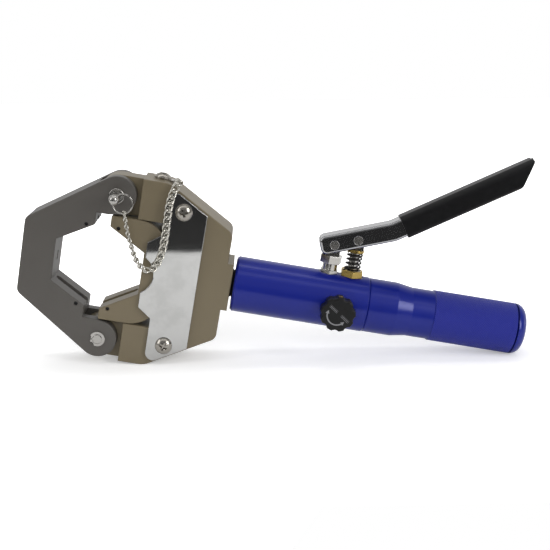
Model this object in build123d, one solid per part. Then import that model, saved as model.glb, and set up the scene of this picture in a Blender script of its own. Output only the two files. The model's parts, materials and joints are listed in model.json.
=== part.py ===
from build123d import *
import math
import os

# Hydraulic hose crimping pliers, in millimetres.
# The tool is modelled along its own axis: x runs from the middle of the closed die opening
# towards the handle, y points away from the viewer and z is up, on the lever's side.
# The finished tool is then leaned until it stands on the head's lower corner and the end cap.

# Head
head_thickness = 34.5
edge_break = 0.5
hex_across = 56.0
ram_stroke = 10.2
slide_gap = 0.4
face_gap = 0.2
tip_gap = 1.3

# Yoke
yoke_tip_setback = 1.0
yoke_back_wall = 24.6
yoke_back_height = 57.8
yoke_back_radius = 6.0
yoke_tip_radius = 1.2
pocket_below_hinge = 15.2
ledge_run = 4.2
hinge_x = 12.4
hinge_half_height = 56.2
pin_diameter = 10.0
pin_fit = 0.05
arm_end_radius = 14.4
fork_slot_width = 18.0
fork_slot_depth = 15.2
tongue_end_gap = 0.8

# Die seats, alike on the yoke and the ram
groove_width = 7.5
groove_depth = 3.5
groove_corner_gap = 1.5
seat_slot_height = 7.5
seat_slot_width = 3.0
seat_slot_depth = 3.6
die_pin_diameter = 3.0
die_pin_fit = 0.03
die_pin_recess = 1.6
die_pin_from_tip = 6.3
die_pin_cover = 2.6

# Head body
step_from_hinge = 17.6
body_above_hinge = 15.4
top_flat_length = 20.0
body_diagonal_angle = 30.0
body_length = 71.7
body_corner_radius = 7.0
body_bend_radius = 15.0
pad_height = 36.5
pad_depth = 4.7
pocket_length = 30.0
pocket_radius = 8.0

# Ram
ram_depth = 18.0
ram_back_radius = 24.0
rod_diameter = 14.0
rod_clearance = 0.3
rod_thread_diameter = 10.0
rod_thread_length = 11.0
thread_fit = 0.02

# Guide plates and their screws
plate_thickness = 3.0
plate_inset = 1.2
plate_left_from_step = 20.0
plate_width = 31.0
plate_corner_radius = 6.0
lobe_reach = 10.2
lobe_half_height = 25.5
lobe_shoulder = 33.0
notch_radius = 15.7
notch_depth = 7.8
screw_head_diameter = 13.0
screw_head_height = 4.0
screw_rim = 0.9
screw_cross_span = 6.4
screw_cross_width = 2.2
screw_cross_depth = 2.4
screw_thread_diameter = 6.0
screw_thread_length = 12.0
screw_hole_clearance = 0.3
plate_screw_from_step = 33.2
plate_screw_below_top = 19.1

# Hinge pin and its retaining rings
hinge_pin_proud = 2.2
hinge_pin_end_diameter = 7.4
ring_thickness = 1.1
ring_outer_diameter = 11.6
ring_groove_diameter = 6.4
ring_opening = 40.0
ring_lug_share = 0.45
ring_seat_gap = 0.1

# Quick-release pin, its ring and its chain
release_pin_tail = 2.5
release_collar_diameter = 11.6
release_collar_length = 3.0
release_neck_diameter = 6.4
release_waist_diameter = 4.4
release_waist_length = 3.0
release_ball_diameter = 8.0
release_ball_reach = 18.5
split_ring_diameter = 14.6
split_ring_wire = 1.2
split_ring_cut = 8.0
split_ring_turn = 32.0
ring_hole_diameter = 2.6
link_wire = 1.4
link_inner_length = 6.0
link_inner_width = 3.4
link_pitch = 5.2
anchor_from_step = 13.0
eyelet_thickness = 0.8
eyelet_diameter = 12.0
eyelet_ear_diameter = 7.6
eyelet_hole_diameter = 4.6
eyelet_reach = 11.5
eyelet_turn = -20.0

# Neck and pump body
swivel_gap = 2.1
neck_diameter = 22.0
neck_engagement = 26.0
neck_fit = 0.05
neck_bottom_gap = 0.5
thread_pitch = 1.5
thread_depth = 0.8
tube_diameter = 42.8
tube_front_chamfer = 1.5
seam_chamfer = 0.7
cut_over = 1.0
cylinder_bore = 30.0
neck_flange_setback = 0.6
neck_flange_length = 19.4
spring_pocket_depth = 14.0
spring_pocket_diameter = 25.4
seam_from_plunger = 15.0
piston_front_gap = 5.7
piston_length = 11.0
piston_back_gap = 1.5
piston_fit = 0.05
seal_width = 4.0
seal_depth = 2.5
seal_fit = 0.05
piston_nut_across = 16.0
piston_nut_height = 5.0
piston_recess_diameter = 20.0
return_spring_mean_radius = 10.6
return_spring_wire = 2.4
return_spring_turns = 6.0

# Lever, fulcrum and plunger
fulcrum_from_front = 71.1
fulcrum_height = 43.9
plunger_from_fulcrum = 17.6
lever_arm = 18.3
lever_angle = 20.8
lever_travel = 22.0
seat_depth = 0.8
post_stud_diameter = 8.0
post_stud_length = 9.0
post_base_across = 12.8
post_base_height = 2.8
post_neck_diameter = 11.6
post_collar_across = 15.2
post_collar_height = 6.1
post_base_turn = 29.0
post_collar_turn = 15.0
post_neck_height = 5.4
post_eye_width = 10.0
post_eye_radius = 5.3
lever_pin_diameter = 7.0
lever_pin_fit = 0.05
channel_width = 15.0
channel_wall = 1.8
channel_height = 14.6
channel_below_pins = 6.3
channel_nose = 11.0
channel_nose_radius = 5.0
channel_to_bend = 46.0
channel_bend = 13.1
channel_bend_radius = 16.0
channel_edge_radius = 2.0
bend_to_grip = 8.5
grip_length = 111.0
grip_slant = 18.4
grip_wall_front = 1.4
grip_wall_rear = 1.4
grip_low_radius = 2.6
grip_top_radius = 5.0
grip_heel_radius = 7.0
grip_end_radius = 1.5
grip_end_wall = 3.0
grip_tip_radius = 1.2
grip_tip_back = 2.4
grip_tip_drop = 1.5
grip_channel_gap = 0.1
plunger_diameter = 8.0
plunger_fit = 0.05
plunger_bottom = 2.0
plunger_bore_bottom = -9.0
plunger_eye_width = 9.6
plunger_eye_radius = 5.2
plunger_eye_play = 0.3
collar_diameter = 13.0
collar_height = 2.5
collar_from_pin = 8.1
gland_across = 16.0
gland_height = 5.4
gland_turn = 29.0
gland_thread_diameter = 12.0
gland_thread_length = 11.0
gland_pocket_diameter = 13.2
gland_pocket_depth = 3.1
plunger_seal_height = 2.0
plunger_spring_mean_radius = 5.6
plunger_spring_wire = 1.4
plunger_spring_turns = 5.5
spring_end_gap = 0.5
spring_seat_gap = 0.05

# Valves in the pump body
valve_line_height = -7.0
valve_bore = 8.0
valve_ball_diameter = 6.0
valve_seat_diameter = 4.0
valve_plug_length = 4.0
valve_plug_hole = 3.0
outlet_chamber_length = 16.0
inlet_chamber_length = 20.0
valve_spring_mean_radius = 2.4
valve_spring_wire = 0.7
valve_spring_turns = 3.0
ball_seat_gap = 0.03
relief_from_cylinder = 9.5
relief_seat_y = 6.5
relief_ball_diameter = 5.0
relief_seat_diameter = 2.5
relief_screw_length = 3.0
relief_screw_recess = 0.5
socket_across = 3.5
socket_depth = 2.0
passage_diameter = 3.0
cross_passage_diameter = 2.4
drain_diameter = 2.0

# Release valve and knob
knob_from_fulcrum = 9.5
knob_height = -3.1
knob_diameter = 26.8
knob_lobes = 9
knob_notch_radius = 4.0
knob_notch_depth = 1.2
knob_lobe_rounding = 0.8
knob_thickness = 9.5
knob_gap = 1.2
knob_edge_radius = 1.2
stem_diameter = 8.0
stem_shaft_diameter = 6.0
stem_fit = 0.05
stem_seat_y = -9.0
stem_tip_gap = 0.05
stem_shaft_in_knob = 7.0
grub_diameter = 3.0
grub_proud = 0.5
grub_from_back = 6.2
stem_seal_section = 1.5

# Reservoir handle and end cap
handle_front_diameter = 42.0
handle_straight = 22.5
handle_taper = 12.0
handle_neck_diameter = 38.0
handle_neck_length = 17.0
grip_front_diameter = 39.4
grip_rear_diameter = 39.7
grip_knurl_length = 65.5
spigot_diameter = 36.0
spigot_length = 18.0
spigot_fit = 0.05
handle_bore = 32.0
nipple_diameter = 24.0
nipple_length = 8.0
cap_length = 8.3
cap_radius = 7.6
cap_seam = 0.6
cap_spigot_length = 10.0
bladder_wall = 1.5
bladder_gap = 1.0
bladder_length = 76.0
oring_section = 2.0

# Chain route: offsets from the split ring's middle, then from the anchor screw's seat with y from the
# front plate's face, and last from the middle of the eyelet's hole
chain_from_ring = [
    (1.7, 0.0, -6.4),
    (5.1, 0.4, -18.0),
    (10.6, 0.8, -31.8),
    (16.6, 1.2, -43.3),
]
chain_from_anchor = [
    (-0.8, -4.6, -67.3),
    (5.1, -4.0, -64.6),
    (8.4, -3.8, -55.0),
    (9.2, -3.6, -42.2),
    (8.9, -3.4, -28.2),
    (8.6, -3.3, -15.2),
    (9.6, -3.2, -7.2),
    (11.6, -2.7, -1.0),
]
chain_from_hole = [
    (3.0, -13.8, 3.0),
    (2.2, -6.1, 1.9),
    (0.6, -2.1, 0.6),
]

# Places that follow from the sizes above
half_thick = head_thickness / 2
pocket_half_height = hinge_half_height - pocket_below_hinge
body_half_height = hinge_half_height + body_above_hinge
plate_screw_half_height = body_half_height - plate_screw_below_top
apothem = hex_across / 2
hex_half_side = apothem / math.sqrt(3)
slope = math.tan(math.radians(30))
step_x = hinge_x + step_from_hinge
flat_end_x = step_x + top_flat_length
body_right_x = step_x + body_length
body_fall = math.tan(math.radians(body_diagonal_angle))
body_right_half = body_half_height - (body_length - top_flat_length) * body_fall
pad_x = body_right_x + pad_depth
pocket_back_x = step_x + pocket_length
tongue_width = fork_slot_width - 2 * face_gap
tongue_radius = fork_slot_depth - tongue_end_gap
ram_half_height = pocket_half_height - slide_gap
ram_half_thick = half_thick - face_gap
ram_face_x = apothem + ram_stroke
ram_tip_x = ram_stroke - yoke_tip_setback + tip_gap
ram_back_x = ram_face_x + ram_depth
plate_left_x = step_x + plate_left_from_step
plate_right_x = plate_left_x + plate_width
lobe_x = plate_left_x - lobe_reach
plate_screw_x = step_x + plate_screw_from_step
anchor_x = step_x + anchor_from_step
tube_front_x = pad_x + swivel_gap
tube_radius = tube_diameter / 2
seat_height = tube_radius - seat_depth
neck_start_x = pad_x - neck_engagement
flange_start_x = tube_front_x + neck_flange_setback
flange_end_x = flange_start_x + neck_flange_length
piston_front_x = flange_end_x + ram_stroke + piston_front_gap
piston_back_x = piston_front_x + piston_length
cylinder_end_x = piston_back_x + piston_back_gap
fulcrum_x = tube_front_x + fulcrum_from_front
plunger_x = fulcrum_x + plunger_from_fulcrum
plunger_pin_z = fulcrum_height + lever_arm * math.sin(math.radians(lever_angle))
plunger_low_z = fulcrum_height + lever_arm * math.sin(math.radians(lever_angle - lever_travel))
plunger_stroke = plunger_pin_z - plunger_low_z
collar_top_z = plunger_pin_z - collar_from_pin
gland_top_z = seat_height + gland_height
knob_x = fulcrum_x + knob_from_fulcrum
seam_x = plunger_x + seam_from_plunger
spigot_end_x = seam_x + spigot_length
nipple_end_x = spigot_end_x + nipple_length
taper_start_x = seam_x + handle_straight
taper_end_x = taper_start_x + handle_taper
knurl_start_x = taper_end_x + handle_neck_length
knurl_end_x = knurl_start_x + grip_knurl_length
cap_end_x = knurl_end_x + cap_length
lever_place = Pos(fulcrum_x, 0, fulcrum_height) * Rot(0, -lever_angle, 0)


def outline(corners):
    points = [(x, z) for x, z, radius in corners]
    radii = [radius for x, z, radius in corners]
    return make_face(FilletPolyline(*points, radius=radii, close=True))


def mirrored(corners):
    return corners + [(x, -z, radius) for x, z, radius in reversed(corners)]


def slab(face, low, high):
    return extrude(Plane.XZ.offset(-high) * face, high - low)


def broken_edges(solid, size):
    ends = solid.faces().sort_by(Axis.Y)
    return chamfer(ends[0].edges() + ends[-1].edges(), size)


def bar_x(diameter, start, end, y=0.0, z=0.0):
    return Pos((start + end) / 2, y, z) * Rot(0, 90, 0) * Cylinder(diameter / 2, end - start)


def bar_y(diameter, start, end, x, z):
    return Pos(x, (start + end) / 2, z) * Rot(90, 0, 0) * Cylinder(diameter / 2, end - start)


def bar_z(diameter, start, end, x, y=0.0):
    return Pos(x, y, (start + end) / 2) * Cylinder(diameter / 2, end - start)


def turned_x(points):
    return revolve(Plane.XZ * make_face(Polyline(*points, close=True)), Axis.X)


def hexagon_z(across, start, end, x, turn=0.0):
    face = RegularPolygon(across / 2, 6, major_radius=False, rotation=turn)
    return Pos(x, 0, start) * extrude(face, end - start)


def ring_x(outer, inner, start, end):
    return bar_x(outer, start, end) - bar_x(inner, start, end)


def coil(mean_radius, wire, length, turns):
    # One tube on quarter-turn biarcs, standing on z = 0, with a closer turn at each end.
    quarters = int(turns * 4)
    close_pitch = wire + spring_end_gap
    open_pitch = (length - wire - 2 * close_pitch) / (turns - 2)

    def height(turn):
        shut = min(turn, 1) + max(turn - turns + 1, 0)
        return wire / 2 + shut * close_pitch + (turn - shut) * open_pitch

    def point(quarter):
        angle = math.radians(90 * quarter)
        return Vector(mean_radius * math.cos(angle), mean_radius * math.sin(angle), height(quarter / 4))

    def direction(quarter):
        angle = math.radians(90 * quarter)
        before = max(quarter - 1, 0)
        after = min(quarter + 1, quarters)
        rise = (height(after / 4) - height(before / 4)) / ((after - before) * math.pi / 2)
        return Vector(-mean_radius * math.sin(angle), mean_radius * math.cos(angle), rise).normalized()

    edges = []
    for quarter in range(quarters):
        start, end = point(quarter), point(quarter + 1)
        leave, arrive = direction(quarter), direction(quarter + 1)
        chord = end - start
        turn = leave + arrive
        a = turn.dot(turn) - 4
        b = -2 * chord.dot(turn)
        c = chord.dot(chord)
        reach = (-b - math.sqrt(b * b - 4 * a * c)) / (2 * a)
        middle = ((start + leave * reach) + (end - arrive * reach)) * 0.5
        first = TangentArc(start, middle, tangent=leave)
        edges += [first, TangentArc(middle, end, tangent=first % 1)]
    path = Wire(edges)
    steps = 48 * quarters // 4
    line = [path @ (i / steps) for i in range(steps + 1)]
    pairs = [(i, j) for i in range(steps + 1) for j in range(i + 24, steps + 1)]
    gap = min((line[i] - line[j]).length for i, j in pairs) - wire
    print(f"coil of {turns:g} turns: least gap to itself {gap:.2f} mm")
    section = Plane(path @ 0, z_dir=path % 0) * Circle(wire / 2)
    return sweep(section, path=path)


def domed_screw():
    # Low domed head standing on z = 0 with a cross recess, thread below.
    radius = screw_head_diameter / 2
    dome = screw_head_height - screw_rim
    ball = (radius * radius + dome * dome) / (2 * dome)
    head = Pos(0, 0, screw_head_height / 2) * Cylinder(radius, screw_head_height)
    head &= Pos(0, 0, screw_head_height - ball) * Sphere(ball)
    cross = Rectangle(screw_cross_span, screw_cross_width) + Rectangle(screw_cross_width, screw_cross_span)
    head -= Pos(0, 0, screw_head_height) * extrude(cross, -screw_cross_depth, taper=12)
    thread = Pos(0, 0, -screw_thread_length / 2) * Cylinder(screw_thread_diameter / 2, screw_thread_length)
    return head + thread


def die_features(tip_x, facing):
    # Cuts for one half of the die opening; facing is 1 for the yoke and -1 for the ram.
    face_x = -facing * apothem + (0 if facing > 0 else ram_stroke)
    cuts = Pos(face_x, 0, 0) * Box(2 * seat_slot_depth, seat_slot_width, seat_slot_height)
    run = (tip_x - face_x) / math.cos(math.radians(30))
    for side in (1, -1):
        corner = Vector(face_x, 0, side * hex_half_side)
        along = Vector(facing * math.cos(math.radians(30)), 0, side * 0.5)
        inward = Vector(facing * 0.5, 0, -side * math.cos(math.radians(30)))
        plane = Plane(corner, x_dir=along, z_dir=inward)
        start = groove_corner_gap + groove_width / 2
        length = abs(run) + groove_width - start
        groove = Pos(start + length / 2, 0) * Rectangle(length, groove_width)
        groove += Pos(start, 0) * Circle(groove_width / 2)
        cuts += plane * extrude(groove, -groove_depth)
    return cuts


def die_pin_places(tip_x, facing):
    face_x = -facing * apothem + (0 if facing > 0 else ram_stroke)
    x = tip_x - facing * die_pin_from_tip
    z = hex_half_side + abs(x - face_x) * slope + die_pin_cover / math.cos(math.radians(30))
    return [(x, z), (x, -z)]


def die_pins(tip_x, facing, half_width):
    length = half_width - die_pin_recess
    size = die_pin_diameter - 2 * die_pin_fit
    return [bar_y(size, -length, length, x, z) for x, z in die_pin_places(tip_x, facing)]


def die_pin_holes(tip_x, facing, half_width):
    places = die_pin_places(tip_x, facing)
    return [bar_y(die_pin_diameter, -half_width, half_width, x, z) for x, z in places]


def yoke():
    back_x = -apothem - yoke_back_wall
    back_z = yoke_back_height / 2
    tip_z = hex_half_side + (apothem - yoke_tip_setback) * slope
    reach_x, reach_z = hinge_x - back_x, hinge_half_height - back_z
    far = math.hypot(reach_x, reach_z)
    angle = math.atan2(reach_z, reach_x) + math.asin(arm_end_radius / far)
    tangent = math.sqrt(far * far - arm_end_radius * arm_end_radius)
    upper = [
        (back_x, back_z, yoke_back_radius),
        (back_x + tangent * math.cos(angle), back_z + tangent * math.sin(angle), 0),
        (hinge_x, hinge_half_height, 0),
        (hinge_x, hinge_half_height - arm_end_radius, 0),
        (hinge_x - ledge_run, pocket_half_height, 0),
        (-yoke_tip_setback, pocket_half_height, 0),
        (-yoke_tip_setback, tip_z, yoke_tip_radius),
        (-apothem, hex_half_side, 0),
    ]
    face = outline(mirrored(upper))
    for side in (1, -1):
        face += Pos(hinge_x, side * hinge_half_height) * Circle(arm_end_radius)
    solid = broken_edges(slab(face, -half_thick, half_thick), edge_break)
    slot_x = hinge_x - fork_slot_depth
    slot_length = fork_slot_depth + 2 * arm_end_radius
    slot_height = hinge_half_height + 2 * arm_end_radius - pocket_half_height
    for side in (1, -1):
        middle_z = side * (pocket_half_height + slot_height / 2)
        solid -= Pos(slot_x + slot_length / 2, 0, middle_z) * Box(slot_length, fork_slot_width, slot_height)
        bore = pin_diameter + 2 * pin_fit
        solid -= bar_y(bore, -half_thick, half_thick, hinge_x, side * hinge_half_height)
    solid -= die_features(-yoke_tip_setback, 1)
    for hole in die_pin_holes(-yoke_tip_setback, 1, half_thick):
        solid -= hole
    return solid


def ram_block():
    tip_z = hex_half_side + (ram_face_x - ram_tip_x) * slope
    upper = [
        (ram_face_x, hex_half_side, 0),
        (ram_tip_x, tip_z, yoke_tip_radius),
        (ram_tip_x, ram_half_height, yoke_tip_radius),
        (ram_back_x, ram_half_height, ram_back_radius),
    ]
    solid = broken_edges(slab(outline(mirrored(upper)), -ram_half_thick, ram_half_thick), edge_break)
    solid -= die_features(ram_tip_x, -1)
    for hole in die_pin_holes(ram_tip_x, -1, half_thick):
        solid -= hole
    socket = rod_thread_diameter + 2 * thread_fit
    return solid - bar_x(socket, ram_back_x - rod_thread_length - thread_fit, ram_back_x)


def head_body():
    upper = [
        (step_x, pocket_half_height, 0),
        (step_x, body_half_height, 0),
        (flat_end_x, body_half_height, body_bend_radius),
        (body_right_x, body_right_half, body_corner_radius),
        (body_right_x, pad_height / 2, 0),
        (pad_x, pad_height / 2, 0),
    ]
    lower = [(x, -z, radius) for x, z, radius in reversed(upper)]
    pocket = [(pocket_back_x, z, pocket_radius) for z in (-pocket_half_height, pocket_half_height)]
    solid = broken_edges(slab(outline(upper + lower + pocket), -half_thick, half_thick), edge_break)
    for side in (1, -1):
        arm = Pos(hinge_x + step_from_hinge / 2, side * hinge_half_height) * Rectangle(
            step_from_hinge, 2 * tongue_radius
        )
        arm += Pos(hinge_x, side * hinge_half_height) * Circle(tongue_radius)
        solid += slab(arm, -tongue_width / 2, tongue_width / 2)
        bore = pin_diameter + 2 * pin_fit
        solid -= bar_y(bore, -half_thick, half_thick, hinge_x, side * hinge_half_height)
        hole = screw_thread_diameter + 2 * thread_fit
        depth = screw_thread_length - plate_thickness + thread_fit
        for end in (1, -1):
            low, high = sorted((end * half_thick, end * (half_thick - depth)))
            solid -= bar_y(hole, low, high, plate_screw_x, side * plate_screw_half_height)
    anchor_depth = screw_thread_length - eyelet_thickness + thread_fit
    hole = screw_thread_diameter + 2 * thread_fit
    solid -= bar_z(hole, body_half_height - anchor_depth, body_half_height, anchor_x)
    solid -= bar_x(rod_diameter + 2 * rod_clearance, pocket_back_x - 1, pad_x)
    return solid - bar_x(neck_diameter + 2 * neck_fit, neck_start_x - neck_bottom_gap, pad_x)


def plate_edge(x):
    # Height of the plate's sloping edge, set in from the body's diagonal.
    edge = body_half_height - (x - flat_end_x) * body_fall
    return edge - plate_inset / math.cos(math.radians(body_diagonal_angle))


def guide_plate(low, high):
    upper = [
        (lobe_x, lobe_half_height, 1.5),
        (plate_left_x, lobe_shoulder, 1.5),
        (plate_left_x, plate_edge(plate_left_x), plate_corner_radius),
        (plate_right_x, plate_edge(plate_right_x), 1.0),
    ]
    face = outline(mirrored(upper))
    face -= Pos(lobe_x + notch_depth - notch_radius, 0) * Circle(notch_radius)
    for side in (1, -1):
        hole = screw_thread_diameter / 2 + screw_hole_clearance
        face -= Pos(plate_screw_x, side * plate_screw_half_height) * Circle(hole)
    return broken_edges(slab(face, low, high), edge_break / 2)


def front_guide_plate():
    return guide_plate(-half_thick - plate_thickness, -half_thick)


def rear_guide_plate():
    return guide_plate(half_thick, half_thick + plate_thickness)


def guide_plate_screws():
    screws = []
    seat = half_thick + plate_thickness
    for side in (1, -1):
        z = side * plate_screw_half_height
        screws.append(Pos(plate_screw_x, -seat, z) * Rot(90, 0, 0) * Rot(0, 0, 20 * side) * domed_screw())
        screws.append(Pos(plate_screw_x, seat, z) * Rot(-90, 0, 0) * Rot(0, 0, 35 * side) * domed_screw())
    return screws


def hinge_pin():
    end = half_thick + hinge_pin_proud
    pin = chamfer(bar_y(hinge_pin_end_diameter, -end, end, hinge_x, -hinge_half_height).edges(), 0.5)
    pin += bar_y(pin_diameter, -half_thick, half_thick, hinge_x, -hinge_half_height)
    for side in (1, -1):
        near = side * (half_thick + ring_seat_gap)
        far = side * (half_thick + 2 * ring_seat_gap + ring_thickness)
        low, high = sorted((near, far))
        ring = bar_y(2 * pin_diameter, low, high, hinge_x, -hinge_half_height)
        pin -= ring - bar_y(ring_groove_diameter, low, high, hinge_x, -hinge_half_height)
    return pin


def hinge_retaining_rings():
    rings = []
    inner = ring_groove_diameter / 2 + ring_seat_gap
    outer = ring_outer_diameter / 2
    wedge = Triangle(c=4 * outer, A=90 - ring_opening / 2, B=90 - ring_opening / 2)
    face = Circle(outer) - Circle(inner) - Pos(0, -wedge.bounding_box().max.Y) * wedge
    lug = (outer + inner) / 2
    for side in (1, -1):
        angle = math.radians(-90 + side * (ring_opening / 2 + 20))
        face += Pos(lug * math.cos(angle), lug * math.sin(angle)) * Circle((outer - inner) * ring_lug_share)
    face -= Circle(inner)
    for side in (1, -1):
        near = side * (half_thick + ring_seat_gap + ring_seat_gap / 2)
        far = near + side * ring_thickness
        ring = slab(face, min(near, far), max(near, far))
        rings.append(Pos(hinge_x, 0, -hinge_half_height) * Rot(0, 25, 0) * ring)
    return rings


def ring_hole_y():
    waist = release_ball_reach - release_ball_diameter / 2 - release_waist_length
    return -half_thick - waist + ring_hole_diameter


def quick_release_pin():
    collar_y = half_thick + face_gap
    ball_y = half_thick + release_ball_reach
    waist_y = ball_y - release_ball_diameter / 2 - release_waist_length
    tail_y = half_thick + release_pin_tail
    shank = chamfer(bar_y(pin_diameter, -collar_y, tail_y, 0, 0).edges().sort_by(Axis.Y)[-1], 1.2)
    collar = bar_y(release_collar_diameter, -collar_y - release_collar_length, -collar_y, 0, 0)
    collar = fillet(collar.edges(), 0.6)
    neck = bar_y(release_neck_diameter, -waist_y, -collar_y - release_collar_length, 0, 0)
    waist = bar_y(release_waist_diameter, -ball_y, -waist_y, 0, 0)
    knob = Pos(0, -ball_y, 0) * Sphere(release_ball_diameter / 2)
    pin = shank + collar + neck + waist + knob
    drill = Rot(0, split_ring_turn, 0) * Cylinder(ring_hole_diameter / 2, 2 * pin_diameter)
    return Pos(hinge_x, 0, hinge_half_height) * (pin - Pos(0, ring_hole_y(), 0) * drill)


def split_ring_place():
    radius = split_ring_diameter / 2
    bow = radius - math.sqrt(radius * radius - release_neck_diameter * release_neck_diameter / 4)
    hole = Pos(hinge_x, ring_hole_y(), hinge_half_height) * Rot(0, split_ring_turn, 0)
    return hole * Pos(radius - bow / 2, 0, 0)


def pin_ring():
    radius = split_ring_diameter / 2
    path = CenterArc((0, 0), radius, 90 + split_ring_cut / 2, 360 - split_ring_cut)
    section = Plane(path @ 0, z_dir=path % 0) * Circle(split_ring_wire / 2)
    return split_ring_place() * Rot(90, 0, 0) * sweep(section, path=path)


def corner_radii(points):
    radii = []
    for before, here, after in zip(points, points[1:], points[2:]):
        arrive, leave = Vector(*here) - Vector(*before), Vector(*after) - Vector(*here)
        half_turn = math.radians(arrive.get_angle(leave) / 2)
        radii.append(0.45 * min(arrive.length, leave.length) / math.tan(half_turn))
    print("chain bend radii:", [round(radius, 1) for radius in radii])
    return radii


def chain_link():
    half = (link_inner_length - link_inner_width) / 2
    bend = (link_inner_width + link_wire) / 2
    path = Wire(
        [
            Line((-half, bend), (half, bend)),
            CenterArc((half, 0), bend, 90, -180),
            Line((half, -bend), (-half, -bend)),
            CenterArc((-half, 0), bend, -90, -180),
        ]
    )
    return sweep(Plane.YZ.offset(-half) * Pos(bend, 0) * Circle(link_wire / 2), path=path)


def chain_joints(line, pitch):
    # Points along the route that lie one straight pitch apart.
    joints = [line[0]]
    for point in line:
        if (point - joints[-1]).length >= pitch:
            joints.append(point)
    return joints


def chain_points():
    ring = split_ring_place().position
    seat = Vector(anchor_x, -half_thick - plate_thickness, body_half_height)
    hole = (eyelet_place() * Pos(eyelet_reach, 0, 0)).position
    points = []
    for start, offsets in ((ring, chain_from_ring), (seat, chain_from_anchor), (hole, chain_from_hole)):
        points += [tuple(start + Vector(*offset)) for offset in offsets]
    return points


def pin_chain():
    points = chain_points()
    route = FilletPolyline(*points, radius=corner_radii(points))
    line = [route @ (i / 3000) for i in range(3001)]
    count = 2 * round(route.length / link_pitch / 2)
    low, high = 0.8 * link_pitch, 1.2 * link_pitch
    for step in range(20):
        pitch = (low + high) / 2
        if len(chain_joints(line, pitch)) > count:
            low = pitch
        else:
            high = pitch
    joints = chain_joints(line, low)
    print(f"chain: {route.length:.1f} mm, {count} links at {low:.2f} mm")
    link = chain_link()
    links = []
    normal = Vector(0, -1, 0)
    for i in range(count):
        along = (joints[i + 1] - joints[i]).normalized()
        normal = (normal - along * normal.dot(along)).normalized()
        turn = 45 if i % 2 else -45
        middle = (joints[i] + joints[i + 1]) * 0.5
        links.append(Plane(middle, x_dir=along, z_dir=normal) * Rot(turn, 0, 0) * link)
    return links


def eyelet_place():
    return Pos(anchor_x, 0, body_half_height) * Rot(0, 0, eyelet_turn)


def chain_eyelet():
    face = Circle(eyelet_diameter / 2) + Pos(eyelet_reach, 0) * Circle(eyelet_ear_diameter / 2)
    face += Pos(eyelet_reach / 2, 0) * Rectangle(eyelet_reach, eyelet_ear_diameter)
    face -= Circle(screw_thread_diameter / 2 + screw_hole_clearance)
    face -= Pos(eyelet_reach, 0) * Circle(eyelet_hole_diameter / 2)
    return eyelet_place() * extrude(face, eyelet_thickness)


def chain_anchor_screw():
    return Pos(anchor_x, 0, body_half_height + eyelet_thickness) * Rot(0, 0, 15) * domed_screw()


def threaded_neck():
    root = neck_diameter / 2 - thread_depth
    radius = neck_diameter / 2
    profile = [(neck_start_x, 0), (neck_start_x, root), (neck_start_x + thread_depth, radius)]
    turns = int((flange_start_x - neck_start_x) / thread_pitch)
    first = flange_start_x - turns * thread_pitch
    for i in range(1, turns):
        x = first + i * thread_pitch
        profile += [(x - thread_pitch * 0.45, radius), (x, root), (x + thread_pitch * 0.45, radius)]
    flange = cylinder_bore / 2 - neck_fit
    profile += [(flange_start_x, radius), (flange_start_x, flange)]
    profile += [(flange_end_x, flange), (flange_end_x, 0)]
    solid = turned_x(profile)
    solid -= bar_x(rod_diameter + 2 * rod_clearance, neck_start_x, flange_end_x)
    return solid - bar_x(spring_pocket_diameter, flange_end_x - spring_pocket_depth, flange_end_x)


def ram_rod():
    solid = bar_x(rod_diameter, ram_back_x, piston_front_x)
    solid += bar_x(rod_thread_diameter, ram_back_x - rod_thread_length, ram_back_x)
    return solid + bar_x(rod_thread_diameter, piston_front_x, piston_back_x - 0.5)


def piston():
    solid = bar_x(cylinder_bore - 2 * piston_fit, piston_front_x, piston_back_x)
    middle = (piston_front_x + piston_back_x) / 2
    inner = cylinder_bore - 2 * seal_depth
    solid -= ring_x(cylinder_bore, inner, middle - seal_width / 2, middle + seal_width / 2)
    solid -= bar_x(rod_thread_diameter + 2 * thread_fit, piston_front_x, piston_back_x)
    return solid - bar_x(piston_recess_diameter, piston_back_x - piston_nut_height - 0.5, piston_back_x)


def piston_seal():
    middle = (piston_front_x + piston_back_x) / 2
    half = seal_width / 2 - seal_fit
    inner = cylinder_bore - 2 * seal_depth + 2 * seal_fit
    return ring_x(cylinder_bore - 2 * seal_fit, inner, middle - half, middle + half)


def piston_nut():
    face = RegularPolygon(piston_nut_across / 2, 6, major_radius=False)
    face -= Circle(rod_thread_diameter / 2 + thread_fit)
    nut = extrude(face, piston_nut_height)
    return Pos(piston_back_x - piston_nut_height - 0.5, 0, 0) * Rot(0, 90, 0) * nut


def return_spring():
    floor = flange_end_x - spring_pocket_depth + spring_seat_gap
    length = piston_front_x - spring_seat_gap - floor
    spring = coil(return_spring_mean_radius, return_spring_wire, length, return_spring_turns)
    return Pos(floor, 0, 0) * Rot(0, 90, 0) * spring


def relief_x():
    return cylinder_end_x + relief_from_cylinder


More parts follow.
